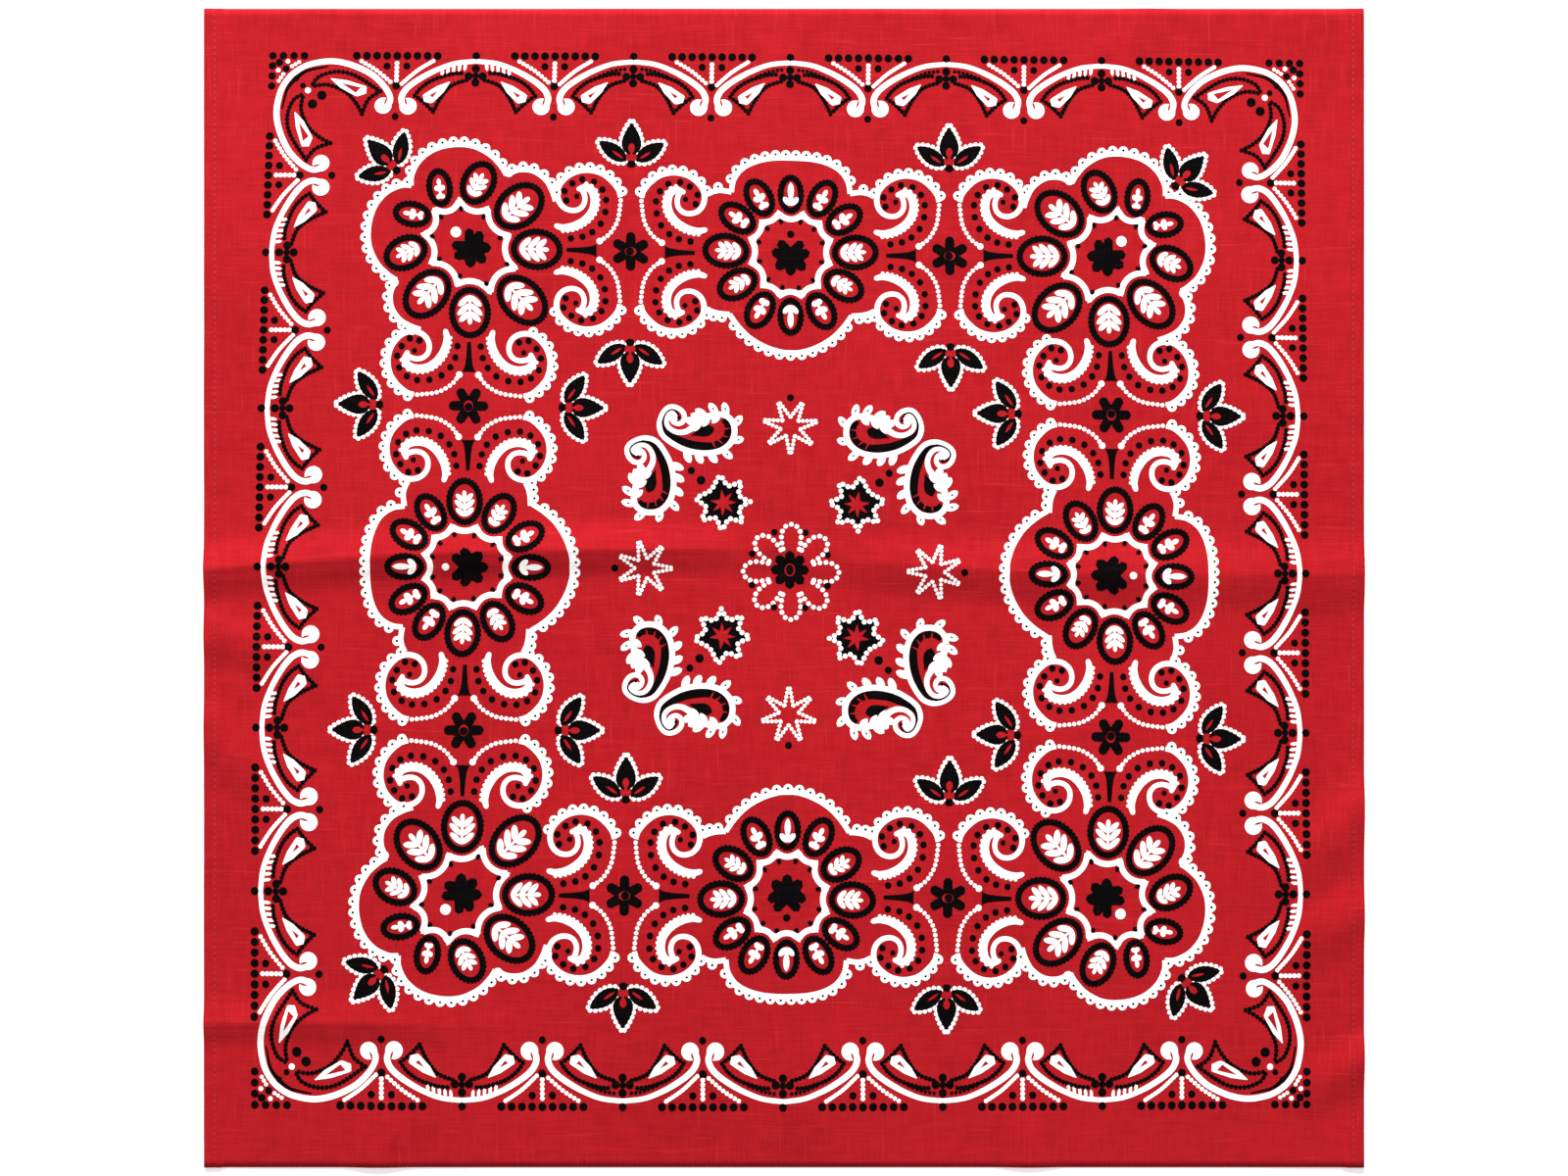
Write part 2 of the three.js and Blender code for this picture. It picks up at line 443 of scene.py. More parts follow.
def mid_medallion(spot_ink, fuller):
    """Medallion in the middle of a side. +x points to the cloth's edge. fuller widens the lobe that faces the
    middle of the cloth."""
    outer = curve(there_and_back(MID_OUTER))
    inner = curve(there_and_back([p * (1 + fuller * math.sin(math.radians(45 + i * 15)))
                                  for i, p in enumerate(MID_INNER)]))
    shapes = both_sides(lace_loop(complex(31, 35.4), 1) + lace_loop(complex(-30, 37.4), -1)
                        + lace_loop(complex(-30.4, 33.2), -1))
    shapes += lace(outer[5:-5], 1) + lace(inner[4:-4], -1)
    for saddle in (MID_SADDLE, MID_INNER_SADDLE):
        shapes += both_sides(band(WHITE, curve(saddle), [LINE]))
    shapes += band(WHITE, outer, [LINE]) + band(WHITE, inner, [LINE])
    return shapes + medallion_middle(MID_OVALS, spot_ink, 9.9, 1.8)


CORNER_LOBE = through((40.6, 0), (44, 3.8), (46.4, 11.2), (45.4, 20), (40.6, 28.6), (33.4, 35.2),
                      (24.6, 38.3), (17.2, 38.2), (12.8, 37.2))
CORNER_ARCH = through((12.8, 37.2), (10.4, 43.4), (5.2, 48), (-1.8, 49.4), (-8, 47.8), (-12.4, 45.6))


def corner_medallion():
    """Medallion in a corner. +x points to the cloth's corner."""
    lobe, arch_line = curve(CORNER_LOBE), curve(CORNER_ARCH)
    half = lace(lobe[2:-1], -1) + lace(arch_line[3:-4], -1)
    half += band(WHITE, lobe, [LINE]) + band(WHITE, arch_line, [LINE])
    return both_sides(half) + medallion_middle(CORNER_OVALS, WHITE, 9.6, 2.6)


# Scrolls between two medallions. The origin is the middle of the gap, and +x points at a medallion.
SCROLL_DOTTED = through((15, 4.6), (10.9, 7.6), (8.1, 11.4), (6.1, 16.1), (5, 24.8))
SCROLL_OUTLINE = through((5.1, 26.4), (6, 29.7), (8.7, 33.4), (12.9, 37), (17.6, 38.8), (22.6, 39.1),
                         (27.6, 37.8), (31.8, 35), (34.8, 31.2), (35.6, 27.2), (34.7, 23.2), (32.3, 20.4),
                         (29, 19.2), (25.7, 19.6), (23.2, 21.7), (22.3, 24.8), (22.9, 28), (24.4, 30.4))
SCROLL_COMMA = through((25.2, 29.8), (22, 30.8), (19.1, 29.3), (17.8, 26.2), (17.6, 22.8), (18.6, 19.2),
                       (21.2, 15.6), (24.8, 12.9), (28.8, 11.2), (32.8, 10.7), (35.9, 11.4))
SCROLL_DOTS = through((31.3, 24), (32.2, 28.6), (28.4, 32.5), (23.7, 34.6), (18, 33.6), (13.9, 29.9),
                      (12.1, 24.9), (12.4, 19), (14.6, 13.2), (18.6, 9), (23.3, 6.6), (28.9, 5.6))


def scroll():
    outline, comma = curve(SCROLL_OUTLINE, 4), curve(SCROLL_COMMA, 4)
    shapes = lace(outline[3:34], 1, 4.75)
    shapes += band(WHITE, outline, [1.2, 1.35, 1.4, 1.35, 1.25, 1.2, 1.3])
    shapes += beads(WHITE, curve(SCROLL_DOTTED), 2.45, 1.1) + [(WHITE, dot(SCROLL_DOTTED[0], 1.6))]
    shapes += teeth(comma[4:-4], 2.1, -1, 1.75, 0.95)
    shapes += band(WHITE, comma, [1.1, 1.85, 1.95, 2.0, 1.95, 1.9, 1.7, 1.2])
    shapes += [(WHITE, dot(SCROLL_COMMA[0], 1.25)), (WHITE, dot(SCROLL_COMMA[-1], 1.2))]
    shapes += [(BLACK, dot(p, 1.6)) for p in SCROLL_DOTS] + [(BLACK, dot(complex(26.3, 26.3), 1.3))]
    return shapes


def nail():
    return band(BLACK, [complex(x, 0) for x in (16.5, 18, 19.6, 23.6, 31)], [3.2, 2.4, 1.9, 1.35, 0.9])


def gap_flower():
    shapes = []
    for k in range(6):
        out = turn(90 + 60 * k)
        shapes.append((BLACK, leaf(0, out * 7.6, 2.4, bulge=2.2, blunt=0.5, steps=8)))
        shapes.append((BLACK, dot(out * 7.2, 2.3)))
    shapes += [(BLACK, ellipse(0, 5, sides=16)), (BARE, ellipse(0, 2.9, 2.3, sides=10))]
    return shapes + [(BLACK, dot(0.4, 2.0))]


def gap():
    """What lies between two medallions: four scrolls, two nails and a flower."""
    right = both_sides(scroll()) + nail()
    return right + placed(right, degrees=180) + gap_flower()


def clipped_beads(line, low):
    """White beads along a closed line, but for those under a height."""
    return [(WHITE, dot(p, 1.2)) for p, _ in walk(line + line[:1], 2.45) if p.imag > low]


def side_leaf():
    """The right-hand black leaf of a cluster, in its beads, with a slender red slit."""
    out = turn(34)
    shapes = clipped_beads(leaf(out * 1.8, out * 20.2, 4.5, 0.85, 0.75, steps=10), -1.2)
    shapes.append((BLACK, leaf(out * 2.6, out * 19.1, 3.8, 0.85, 0.75, steps=10)))
    return shapes + [(BARE, leaf(out * 4.6, out * 11.4, 0.75, blunt=0.7))]


def leaf_cluster():
    """Three black leaves in beads. The dot at their root is the origin, and +y is the middle leaf's way."""
    side = side_leaf()
    shapes = clipped_beads(leaf(3j, 21.8j, 5.3, 0.7, 0.8, steps=10), 9)
    shapes += side + [(ink, [-p.conjugate() for p in outline]) for ink, outline in side]
    shapes += [(BARE, leaf(0j, 9j, 2.6, 0.8, 0.7)), (BLACK, leaf(4.2j, 20.2j, 4.8, 0.66, 0.85, steps=10))]
    shapes += [(BARE, ellipse(7.9j, 1.65, 2.4, sides=14)), (BARE, leaf(3j, 7j, 0.7))]
    return shapes + [(BLACK, ellipse(0, 2.2, 1.8, sides=12))]


# Border: +x points to the cloth's edge, y runs along it, and x = 0 is the outer row of dots.
ARCH_LINE = through((-2.7, 0), (-3.8, 9.9), (-6.8, 18.2), (-10.6, 25.4), (-14.4, 30.9), (-17.8, 34.2),
                    (-21.6, 35.6), (-25.4, 34.6))
ARCH_CURL = complex(-25.5, 32.3)
CRESCENT_OUTER = through((-8.7, 7), (-9.2, 12), (-12.2, 20.9), (-16.2, 26.4), (-20.1, 29.2))
CRESCENT_INNER = through((-12.2, 4.4), (-14.9, 11.5), (-20.9, 16.5), (-28.2, 20.1))
CRESCENT_FOOT = through((-20.1, 29.2), (-23.6, 24.6), (-28.2, 20.1))


def drop_triangle(opening, tip, *base):
    """A white three-cornered drop with bowed sides and a bare place, which opening sizes from 0 to 1."""
    corners = (tip,) + base
    middle = sum(corners) / 3
    line = []
    for a, b in zip(corners, corners[1:] + corners[:1]):
        line += [a + (b - a) * 0.06, (a + b) / 2 + ((a + b) / 2 - middle) * 0.36, b - (b - a) * 0.06]
    root = middle + (sum(base) / 2 - middle) * 0.3
    hole = [root + (corner - root) * (0.3 + 0.22 * opening) for corner in corners]
    return [(WHITE, line), (BARE, hole)]


def arch(ticked):
    """One arch of the border, between two fans. Some have short white ticks under their line."""
    half = band(WHITE, curve(ARCH_LINE), [1.15, 1.2, 1.35, 1.45, 1.5, 1.5])
    half.append((WHITE, ellipse(ARCH_CURL, 4.2, sides=22)))
    half.append((BARE, leaf(ARCH_CURL + complex(4.3, 1.7), ARCH_CURL + complex(0.4, 0.6), 0.5, blunt=0.6)))
    for k in range(5 if ticked else 0):
        along = 5 + 2.75 * k
        root = complex(-3.0 - 0.013 * along ** 2, along)
        half.append((WHITE, leaf(root, root + complex(-4.4, 0.5), 0.8, blunt=0.4, steps=4)))
    if not ticked:
        half += beads(BLACK, curve(through((-6.3, 4.2), (-7.2, 9.6), (-9.8, 16.2))), 2.05, 0.95)
    for points in (CRESCENT_OUTER, CRESCENT_INNER, CRESCENT_FOOT):
        half += beads(BLACK, curve(points), 2.05, 1.15)
    half += drop_triangle(0, *through((-12.6, 11.8), (-19.8, 25.6), (-24.2, 20.8)))
    half.append((BLACK, dot(complex(-10.2, 3.4), 2.0)))
    middle = [(BLACK, dot(x, radius)) for x, radius in ((0, 1.9), (-6.4, 2.0), (-13.4, 2.0), (-10, 1.6))]
    return both_sides(half) + middle


def fan():
    """Rows of black dots over a white fan, outside the meeting of two arches. The dotted ray is at +y."""
    shapes = [(BLACK, dot(complex(0, 4.9 * k), 1.95)) for k in range(-4, 5)]
    shapes += [(BLACK, dot(complex(-5.2, 4.8 * k), 1.75)) for k in (-1, 1)]
    shapes += beads(WHITE, through((-3.8, 0), (-12.4, 0)), 2.1, 1.2)
    shapes += beads(WHITE, curve(through((-2.8, 17.2), (-7.4, 9.8), (-13.2, 2.9))), 2.3, 1.1)
    plain_ray = curve(through((-2.6, -17.6), (-7.6, -9.9), (-14.2, -2.6)))
    shapes += band(WHITE, plain_ray, [0.85]) + beads(WHITE, plain_ray, 1.9, 1.05)
    return shapes + [(BLACK, dot(-15.2, 1.9)), (BLACK, dot(-30.6, 1.75))]


def corner_half():
    """Half of a border corner, from the corner dot, which is the origin, along the side to its first fan."""
    def at(along, inward):
        return complex(-inward, -along)

    def line(*places):
        return curve([at(*place) for place in places])
    rail = line((7.4, 12.2), (9.6, 9.6), (13.8, 6.4), (19.2, 4.1), (28.3, 2.8), (37.3, 4.4), (46.4, 8.4),
                (51.8, 12.6), (55.8, 17.4), (57.6, 22), (56.2, 26))
    curl = at(54.2, 25.2)
    shapes = band(WHITE, rail, [1.35, 1.4, 1.45, 1.45, 1.4, 1.4])
    shapes.append((WHITE, ellipse(curl, 4.1, sides=22)))
    shapes.append((BARE, leaf(curl + complex(4.2, -1.8), curl + complex(0.4, -0.6), 0.5, blunt=0.6)))
    shapes += band(BLACK, line((11.5, 11.8), (14.2, 9.2), (18, 7.2), (27, 5.4)), [0.9, 0.8, 0.3])
    shapes += [(BLACK, dot(at(11.6, 11.6), 1.5)), (BLACK, dot(at(15.1, 15.1), 1.4)),
               (WHITE, dot(at(17.6, 17.6), 1.5)), (BLACK, dot(at(24.4, 20), 2.3))]
    outer = line((19.9, 14.4), (22.6, 10.6), (30.5, 8.1), (40, 9.9), (52.6, 18))
    inner = line((21, 15.2), (27.4, 14.7), (35.5, 18.1), (41, 23.8), (44.1, 29.4))
    foot = line((52.6, 18), (47, 22), (44.1, 29.4))
    for edge in (outer, inner, foot):
        shapes += beads(BLACK, edge, 2.05, 1.15)
    shapes += drop_triangle(1, at(27.6, 11.2), at(46.2, 15.6), at(41.4, 20.9))
    shapes += [(BLACK, dot(at(5.1 * k, 0), 1.85)) for k in range(4)]
    shapes += [(BLACK, dot(at(3.3, 3.3), 1.85)), (BLACK, dot(at(6.6, 6.6), 1.7))]
    return shapes + beads(WHITE, [at(9.4, 5.4), at(12.8, 3.3)], 2.0, 1.0) + [(WHITE, dot(at(7.4, 2.9), 1.2))]


BORDER = 252.0  # from the middle to the outer row of dots
FIRST_FAN = 60.2  # from the corner dot
ARCHES = 5  # to a side, between its first and last fan


def border():
    pitch = 2 * (BORDER - FIRST_FAN) / ARCHES
    half = placed(corner_half(), at=complex(BORDER, BORDER))
    shapes = []
    for degrees, upright in ((90, False), (-90, False), (180, True), (0, True)):
        side = []
        for k in range(ARCHES + 1):
            along = BORDER - FIRST_FAN - pitch * k
            side += placed(fan(), at=complex(BORDER, along))
            if k < ARCHES:
                ticked = upright or k in (0, ARCHES - 1)
                side += placed(arch(ticked), at=complex(BORDER, along - pitch / 2))
        shapes += placed(side, degrees=degrees, mirror=upright)
    for k in range(4):
        shapes += placed(half, degrees=90 * k) + placed(half, degrees=90 * k, mirror=True)
    return shapes


# Centre
PAISLEY_LINE = through((-13.9, 7.8), (-12.7, 6), (-10.4, 5.3), (-8.4, 6.3), (-7.6, 8.3), (-8.2, 10.8),
                       (-10.4, 12.8), (-13.2, 13.6), (-15.7, 13), (-17.9, 10.5), (-19.3, 7), (-19.6, 3.6),
                       (-18.2, -0.2), (-15, -3.2), (-9.5, -6.4), (-4.5, -8.1), (0.6, -8.9), (5.6, -8.7),
                       (10.4, -7.3), (14.4, -4.2), (16.3, -0.5), (16.5, 3.6), (15.2, 7.2), (12.4, 9.6),
                       (8.8, 10.3))
PAISLEY_NECK = through((-12.2, 9.6), (-13.7, 10.8), (-15.4, 9.5), (-16.2, 7), (-15.7, 4.3), (-13.4, 2.1),
                       (-10.4, 1.1), (-7, 1.5), (-3.5, 3.6), (-0.6, 6.3), (3, 8.8), (8, 9.9))
PAISLEY_LANE = through((-10.3, 9), (-11.4, 11.3), (-13.7, 12.2), (-15.9, 11), (-17.4, 8.5), (-18, 5),
                       (-16.8, 1.6), (-13.4, -1), (-9.2, -3), (-4.5, -4.6), (0.6, -5.4), (5.6, -5.4),
                       (9.8, -3.8), (12.4, -1.2), (13.4, 2), (13, 5.4), (10.8, 7.6))
PAISLEY_LANE_CUTS = through((6.9, -5), (9.9, -3.2), (12.2, -0.4), (13, 3.4))
PAISLEY_HEART = complex(3, 2)  # the cuts across the lane point away from here
PAISLEY_EYE = complex(-10.4, 8.3)
CURL_STEPS = 20  # lengths of the lane that lie over the white of the curl
# Leaves along the paisley's edge and in its neck, each from its root to its tip
PAISLEY_LEAVES = (through((-1.6, 5.2), (-7.2, 7.9)), through((0.8, 7.2), (-4.6, 10.2)),
                  through((3.4, 8.8), (-2.4, 12.6)), through((8.4, 9.9), (4.2, 15.7)),
                  through((13, 9.2), (11.3, 16.2)), through((16.2, 4.4), (20.1, 9.8)),
                  through((15.5, -3.2), (21.1, -1.3)), through((10.4, -7), (15.6, -11.4)),
                  through((4.1, -8.6), (8.3, -13.5)), through((-2, -8.4), (1.3, -14)),
                  through((-7.4, -7), (-4.6, -13.8)))
FLECKED_LEAVES = PAISLEY_LEAVES[3:8]
PAISLEY_TONGUES = (through((0.4, 7), (-3, 1.7)), through((4.4, 9), (1.2, 4)), through((9.4, 9.8), (5.6, 5.8)))


def paisley():
    """One paisley. The origin is its middle, and its curl lies to the left."""
    shapes = [(WHITE, leaf(root, tip, 1.85, bulge=1.05, blunt=0.5, steps=8)) for root, tip in PAISLEY_LEAVES]
    for root, tip in FLECKED_LEAVES:
        shapes.append((BLACK, leaf(root + (tip - root) * 0.4, root + (tip - root) * 0.65, 0.4)))
    lane = band(BLACK, curve(PAISLEY_LANE, 4),
                [0.4, 0.4, 0.4, 0.4, 0.45, 0.6, 1, 1.5, 1.8, 1.9, 2, 1.9, 1.8, 1.6, 1.6, 1.5, 0.8])
    shapes += lane[CURL_STEPS:]
    for cut in PAISLEY_LANE_CUTS:
        out = (cut - PAISLEY_HEART) / abs(cut - PAISLEY_HEART)
        shapes += band(BARE, [cut - out * 2.2, cut + out * 1.2], [0.55, 0.3])
    shapes.append((BLACK, leaf(complex(-4.4, -0.3), complex(6.8, 3.4), 2.7, bulge=1.7, blunt=0.7, steps=10)))
    shapes += band(WHITE, curve(PAISLEY_LINE, 4), [1.1, 1.15, 1.2, 1.25, 1.25, 1.4, 1.4, 1.4])
    shapes += band(WHITE, curve(PAISLEY_NECK, 4), [1, 1.05, 1.1, 1.2, 1.4, 1.9, 1.4])
    shapes += lane[:CURL_STEPS]
    shapes += [(WHITE, leaf(root, tip, 1.5, bulge=0.9, blunt=0.65)) for root, tip in PAISLEY_TONGUES]
    return shapes + [(WHITE, dot(complex(-12.9, 8.4), 2.2)), (BLACK, dot(PAISLEY_EYE, 0.9))]


def star_line(tips, tip_radius, valley_radius):
    """The outline of a star, from the angles of its tips."""
    line = []
    for a, b in zip(tips, tips[1:] + [tips[0] + 360]):
        line += [turn(a) * tip_radius, turn((a + b) / 2) * valley_radius]
    return line


def dotted_flower():
    """A black flower in white beads, with two dots out along +x."""
    tips = [-132.5, -85, -37.5, 37.5, 85, 132.5, 180]
    outline = star_line(tips, 13.0, 8.4)
    rail = curve(outline + outline[:1], 4)
    shapes = [(BLACK, [p * 0.95 for p in rail])] + beads(WHITE, rail, 2.7, 1.25)
    shapes += [(BARE, leaf(0, turn(a) * 6.6, 1.1, bulge=0.6)) for a in tips]
    return shapes + [(BARE, ellipse(0, 2.6, sides=12)), (BLACK, dot(15.2, 2.1)), (BLACK, dot(21.8, 1.75))]


def dotted_star():
    """A star drawn in white beads only, with a black dot out along +x."""
    points = 7
    step = 360 / points
    shapes = []
    for k in range(points):
        out = turn(step * (k + 0.5))
        for side in (-1, 1):
            tip, valley = out * complex(12.5, side * 0.5), out * turn(side * step * 0.46) * 5.0
            shapes += beads(WHITE, [tip, valley], 2.15, 0.98)
    return shapes + [(BLACK, dot(14.4, 1.7))]


def centre_flower():
    """A black flower of eight petals, with a large open petal of beads round each."""
    shapes = []
    petal = through((11, 3.9), (14.5, 4.6), (18.5, 4.6), (21.7, 3), (23, 0))
    rail = curve(there_and_back(petal))
    for k in range(8):
        out = turn(45 * k)
        shapes += beads(WHITE, [p * out + complex(0.6, -1) for p in rail], 2.8, 1.2)
        shapes.append((BLACK, dot(out * turn(22.5) * 19.6, 1.6)))
        shapes.append((BLACK, leaf(0, out * 9.3, 2.3, bulge=2.1, blunt=0.5)))
    shapes += [(BLACK, ellipse(0, 6.2, sides=16)), (BARE, ellipse(0, 2.6, 3.2, sides=14))]
    return shapes + [(BLACK, ellipse(0, 1.9, 2.5, sides=12))]


# Where the motifs lie, from the middle of the cloth
SPAN = 155.0  # the middles of the medallions
OUTER_CLUSTERS = SPAN + 42.8
INNER_CLUSTERS = SPAN - 45
STARS = 69.5
FLOWERS = 45.5
PAISLEY = complex(-43.5, 65)

# How far out the corner clusters lie from the middles of the corner medallions, from the far right one round
CORNER_CLUSTERS = (47.6, 50.6, 49.8, 52.4)


def field():
    """Everything inside the border."""
    shapes = centre_flower()
    gaps = gap()
    cluster = leaf_cluster()
    for k in range(4):
        out = turn(90 * k)
        for along in (-SPAN / 2, SPAN / 2):
            shapes += placed(gaps, at=out * complex(SPAN, along), degrees=90 * k + 90)
            shapes += placed(cluster, at=out * complex(OUTER_CLUSTERS, along), degrees=90 * k - 90)
            shapes += placed(cluster, at=out * complex(INNER_CLUSTERS, along), degrees=90 * k + 90)
        spot_ink, fuller = (BLACK, 0) if k % 2 else (WHITE, 0.04)
        shapes += placed(mid_medallion(spot_ink, fuller), at=out * SPAN, degrees=90 * k)
        shapes += placed(corner_medallion(), at=out * complex(SPAN, SPAN), degrees=90 * k + 45)
        away = SPAN * math.sqrt(2) + CORNER_CLUSTERS[k]
        shapes += placed(cluster, at=turn(90 * k + 45) * away, degrees=90 * k - 45)
        shapes += placed(dotted_star(), at=out * STARS, degrees=90 * k)
        shapes += placed(dotted_flower(), at=turn(90 * k + 45) * FLOWERS, degrees=90 * k + 45)
    one = placed(paisley(), at=PAISLEY)
    pair = one + placed(one, degrees=-90, mirror=True)
    for degrees, mirror in ((0, False), (180, False), (180, True), (0, True)):
        shapes += placed(pair, degrees=degrees, mirror=mirror)
    return shapes


def spread_weights(t):
    """Shares of the near, middle and far place. Past the outer places the shape goes on straight."""
    if abs(t) <= 1:
        return t * (t - 1) / 2, 1 - t * t, t * (t + 1) / 2
    past = abs(t) - 1
    return (0, -past, 1 + past) if t > 0 else (1 + past, -past, 0)


def laid(shapes, half, places):
    """Moves a design from its even square to where the cloth was printed, a little stretched and turned.
    places holds where the corners, the middles of the sides and the middle come, the far row first."""
    def move(p):
        across, up = spread_weights(p.real / half), spread_weights(p.imag / half)
        return sum(place * across[column] * up[2 - row]
                   for row, line in enumerate(places) for column, place in enumerate(line))
    return [(ink, [move(p) for p in outline]) for ink, outline in shapes]


FIELD_PLACES = (through((-151.6, 164.8), (3.2, 160.9), (156.2, 160.5)),
                through((-153.2, 10.1), (2.8, 8.8), (158.4, 6.1)),
                through((-156.3, -148.2), (1.4, -148.9), (155.7, -150.4)))
BORDER_PLACES = (through((-246.6, 256.9), (3.1, 255.9), (248.8, 253.1)),
                 through((-253.7, 10.4), (0, 8.8), (251.3, 7.0)),
                 through((-255.3, -249.3), (-0.5, -250.5), (252.1, -249.0)))


def whole_print():
    return laid(border(), BORDER, BORDER_PLACES) + laid(field(), SPAN, FIELD_PLACES)


# Cutting the print into triangles
TILE = 12  # grid cells to the side of the patch that is cut at once
SLACK = 1e-4  # millimetres within which two points count as one
SLIVER = 1e-3  # square millimetres below which a triangle is left out


def outline_box(outline):
    xs, ys = [p.real for p in outline], [p.imag for p in outline]
    return min(xs), min(ys), max(xs), max(ys)


def encloses(outline, x, y):
    """Whether an outline goes round a place."""
    inside = False
    before = outline[-1]
    for p in outline:
        if (p.imag > y) != (before.imag > y):
            if x < p.real + (y - p.imag) * (before.real - p.real) / (before.imag - p.imag):
                inside = not inside
        before = p
    return inside


def top_ink(near, x, y):
    """The ink that lies on top at a place, among shapes given with their boxes and the lowest first."""
    for (ink, outline), (left, low, right, high) in reversed(near):
        if left < x < right and low < y < high and encloses(outline, x, y):
            return ink
    return BARE


def cut_patch(near, xs, ys):
    """Triangles of the shapes over one patch of the grid, each with the ink that lies on top. The grid's own
    lines cut the shapes too, so that the print bends where the cloth does."""
    points, edges = [], []
    for x in xs:
        points += [Vector((x, ys[0])), Vector((x, ys[-1]))]
    for y in ys:
        points += [Vector((xs[0], y)), Vector((xs[-1], y))]
    edges += [(i, i + 1) for i in range(0, len(points), 2)]
    for (_, outline), _ in near:
        first = len(points)
        points += [Vector((p.real, p.imag)) for p in outline]
        edges += [(i, i + 1) for i in range(first, len(points) - 1)] + [(len(points) - 1, first)]
    corners, _, triangles, _, _, _ = delaunay_2d_cdt(points, edges, [], 0, SLACK, False)
    for triangle in triangles:
        a, b, c = (corners[i] for i in triangle)
        x, y = (a.x + b.x + c.x) / 3, (a.y + b.y + c.y) / 3
        if xs[0] < x < xs[-1] and ys[0] < y < ys[-1] and (b - a).cross(c - a) > SLIVER:
            ink = top_ink(near, x, y)
            if ink != BARE:
                yield ink, (a, b, c)


def cut_print(shapes):
    """All triangles of the print, patch by patch."""
    boxed = [(shape, outline_box(shape[1])) for shape in shapes]
    for i in range(0, len(X_LINES) - 1, TILE):
        xs = X_LINES[i:i + TILE + 1]
        column = [each for each in boxed if each[1][0] < xs[-1] and each[1][2] > xs[0]]
        for j in range(0, len(Y_LINES) - 1, TILE):
            ys = Y_LINES[j:j + TILE + 1]
            near = [each for each in column if each[1][1] < ys[-1] and each[1][3] > ys[0]]
            if near:
                yield from cut_patch(near, xs, ys)


# Materials
def linear(hexed):
    """An sRGB hex colour as the linear colour that the shaders take."""
    parts = [int(hexed[i:i + 2], 16) / 255 for i in (1, 3, 5)]
    return [p / 12.92 if p <= 0.04045 else ((p + 0.055) / 1.055) ** 2.4 for p in parts] + [1.0]


def add_node(tree, kind, settings=None, inputs=None):
    """Adds a node, sets its properties, and gives its inputs a value or a link each."""
    node = tree.nodes.new(kind)
    for name, value in (settings or {}).items():
        setattr(node, name, value)
    for name, value in (inputs or {}).items():
        if isinstance(value, bpy.types.NodeSocket):
            tree.links.new(value, node.inputs[name])
        else:
            node.inputs[name].default_value = value
    return node


COLOUR_MIX = {"data_type": "RGBA"}
MIX_SHARE, MIX_A, MIX_B, MIX_RESULT = 0, 6, 7, 2  # the sockets of a Mix node that mixes colours
EVEN = 0.5  # the share of each of two things that are mixed half and half
THREAD = 0.9  # drawn twice as wide as the real 0.45 mm, or it would not show
THREAD_RUN = 16.0  # how far a thread keeps its tone
SLUB = 1.5
SLUB_RUN = 26.0
PLY = 0.4  # from one ply of the sewing thread to the next


def streaks(tree, place, across, run, along_y, seed):
    """Noise drawn out along the threads that run one way."""
    wide, long = 1 / (across * MM), 1 / (run * MM)
    scale = (wide, long, 1.0) if along_y else (long, wide, 1.0)
    moved = add_node(tree, "ShaderNodeMapping", inputs={
        0: place, "Scale": scale, "Location": (seed, seed * 0.7, seed)})
    found = add_node(tree, "ShaderNodeTexNoise", inputs={
        "Vector": moved.outputs[0], "Scale": 1.0, "Detail": 1.0, "Roughness": 0.6})
    return found.outputs[0]


def plain_weave(tree):
    """The threads of a plain weave, a little uneven: where they lie, their tone, the slubs and the bump."""
    place = add_node(tree, "ShaderNodeTexCoord").outputs["Object"]
    warp = streaks(tree, place, THREAD, THREAD_RUN, True, 3.1)
    weft = streaks(tree, place, THREAD, THREAD_RUN, False, 7.7)
    tone = add_node(tree, "ShaderNodeMix", inputs={"Factor": EVEN, "A": warp, "B": weft}).outputs[0]
    slub_warp = streaks(tree, place, SLUB, SLUB_RUN, True, 12.9)
    slub_weft = streaks(tree, place, SLUB, SLUB_RUN, False, 21.3)
    thickest = add_node(tree, "ShaderNodeMath", {"operation": "MAXIMUM"}, {0: slub_warp, 1: slub_weft})
    slubs = add_node(tree, "ShaderNodeMapRange", inputs={
        "Value": thickest.outputs[0], "From Min": 0.64, "From Max": 0.9}).outputs[0]
    height = add_node(tree, "ShaderNodeMath", {"operation": "MULTIPLY_ADD"}, {0: slubs, 1: 0.4, 2: tone})
    bump = add_node(tree, "ShaderNodeBump", inputs={
        "Height": height.outputs[0], "Strength": 0.35, "Distance": 0.35 * MM})
    return place, tone, slubs, bump.outputs[0]


def new_material(name):
    material = bpy.data.materials.new(name)
    material.use_nodes = True
    material.node_tree.nodes.clear()
    return material, material.node_tree


def finish_material(tree, colour, normal, roughness, sheen, specular, glow=0.0):
    shader = add_node(tree, "ShaderNodeBsdfPrincipled", inputs={
        "Base Color": colour, "Roughness": roughness, "Specular IOR Level": specular,
        "Sheen Weight": sheen, "Sheen Roughness": 0.5,
        "Emission Color": (1, 1, 1, 1), "Emission Strength": glow})
    if normal is not None:
        tree.links.new(normal, shader.inputs["Normal"])
    add_node(tree, "ShaderNodeOutputMaterial", inputs={"Surface": shader.outputs[0]})


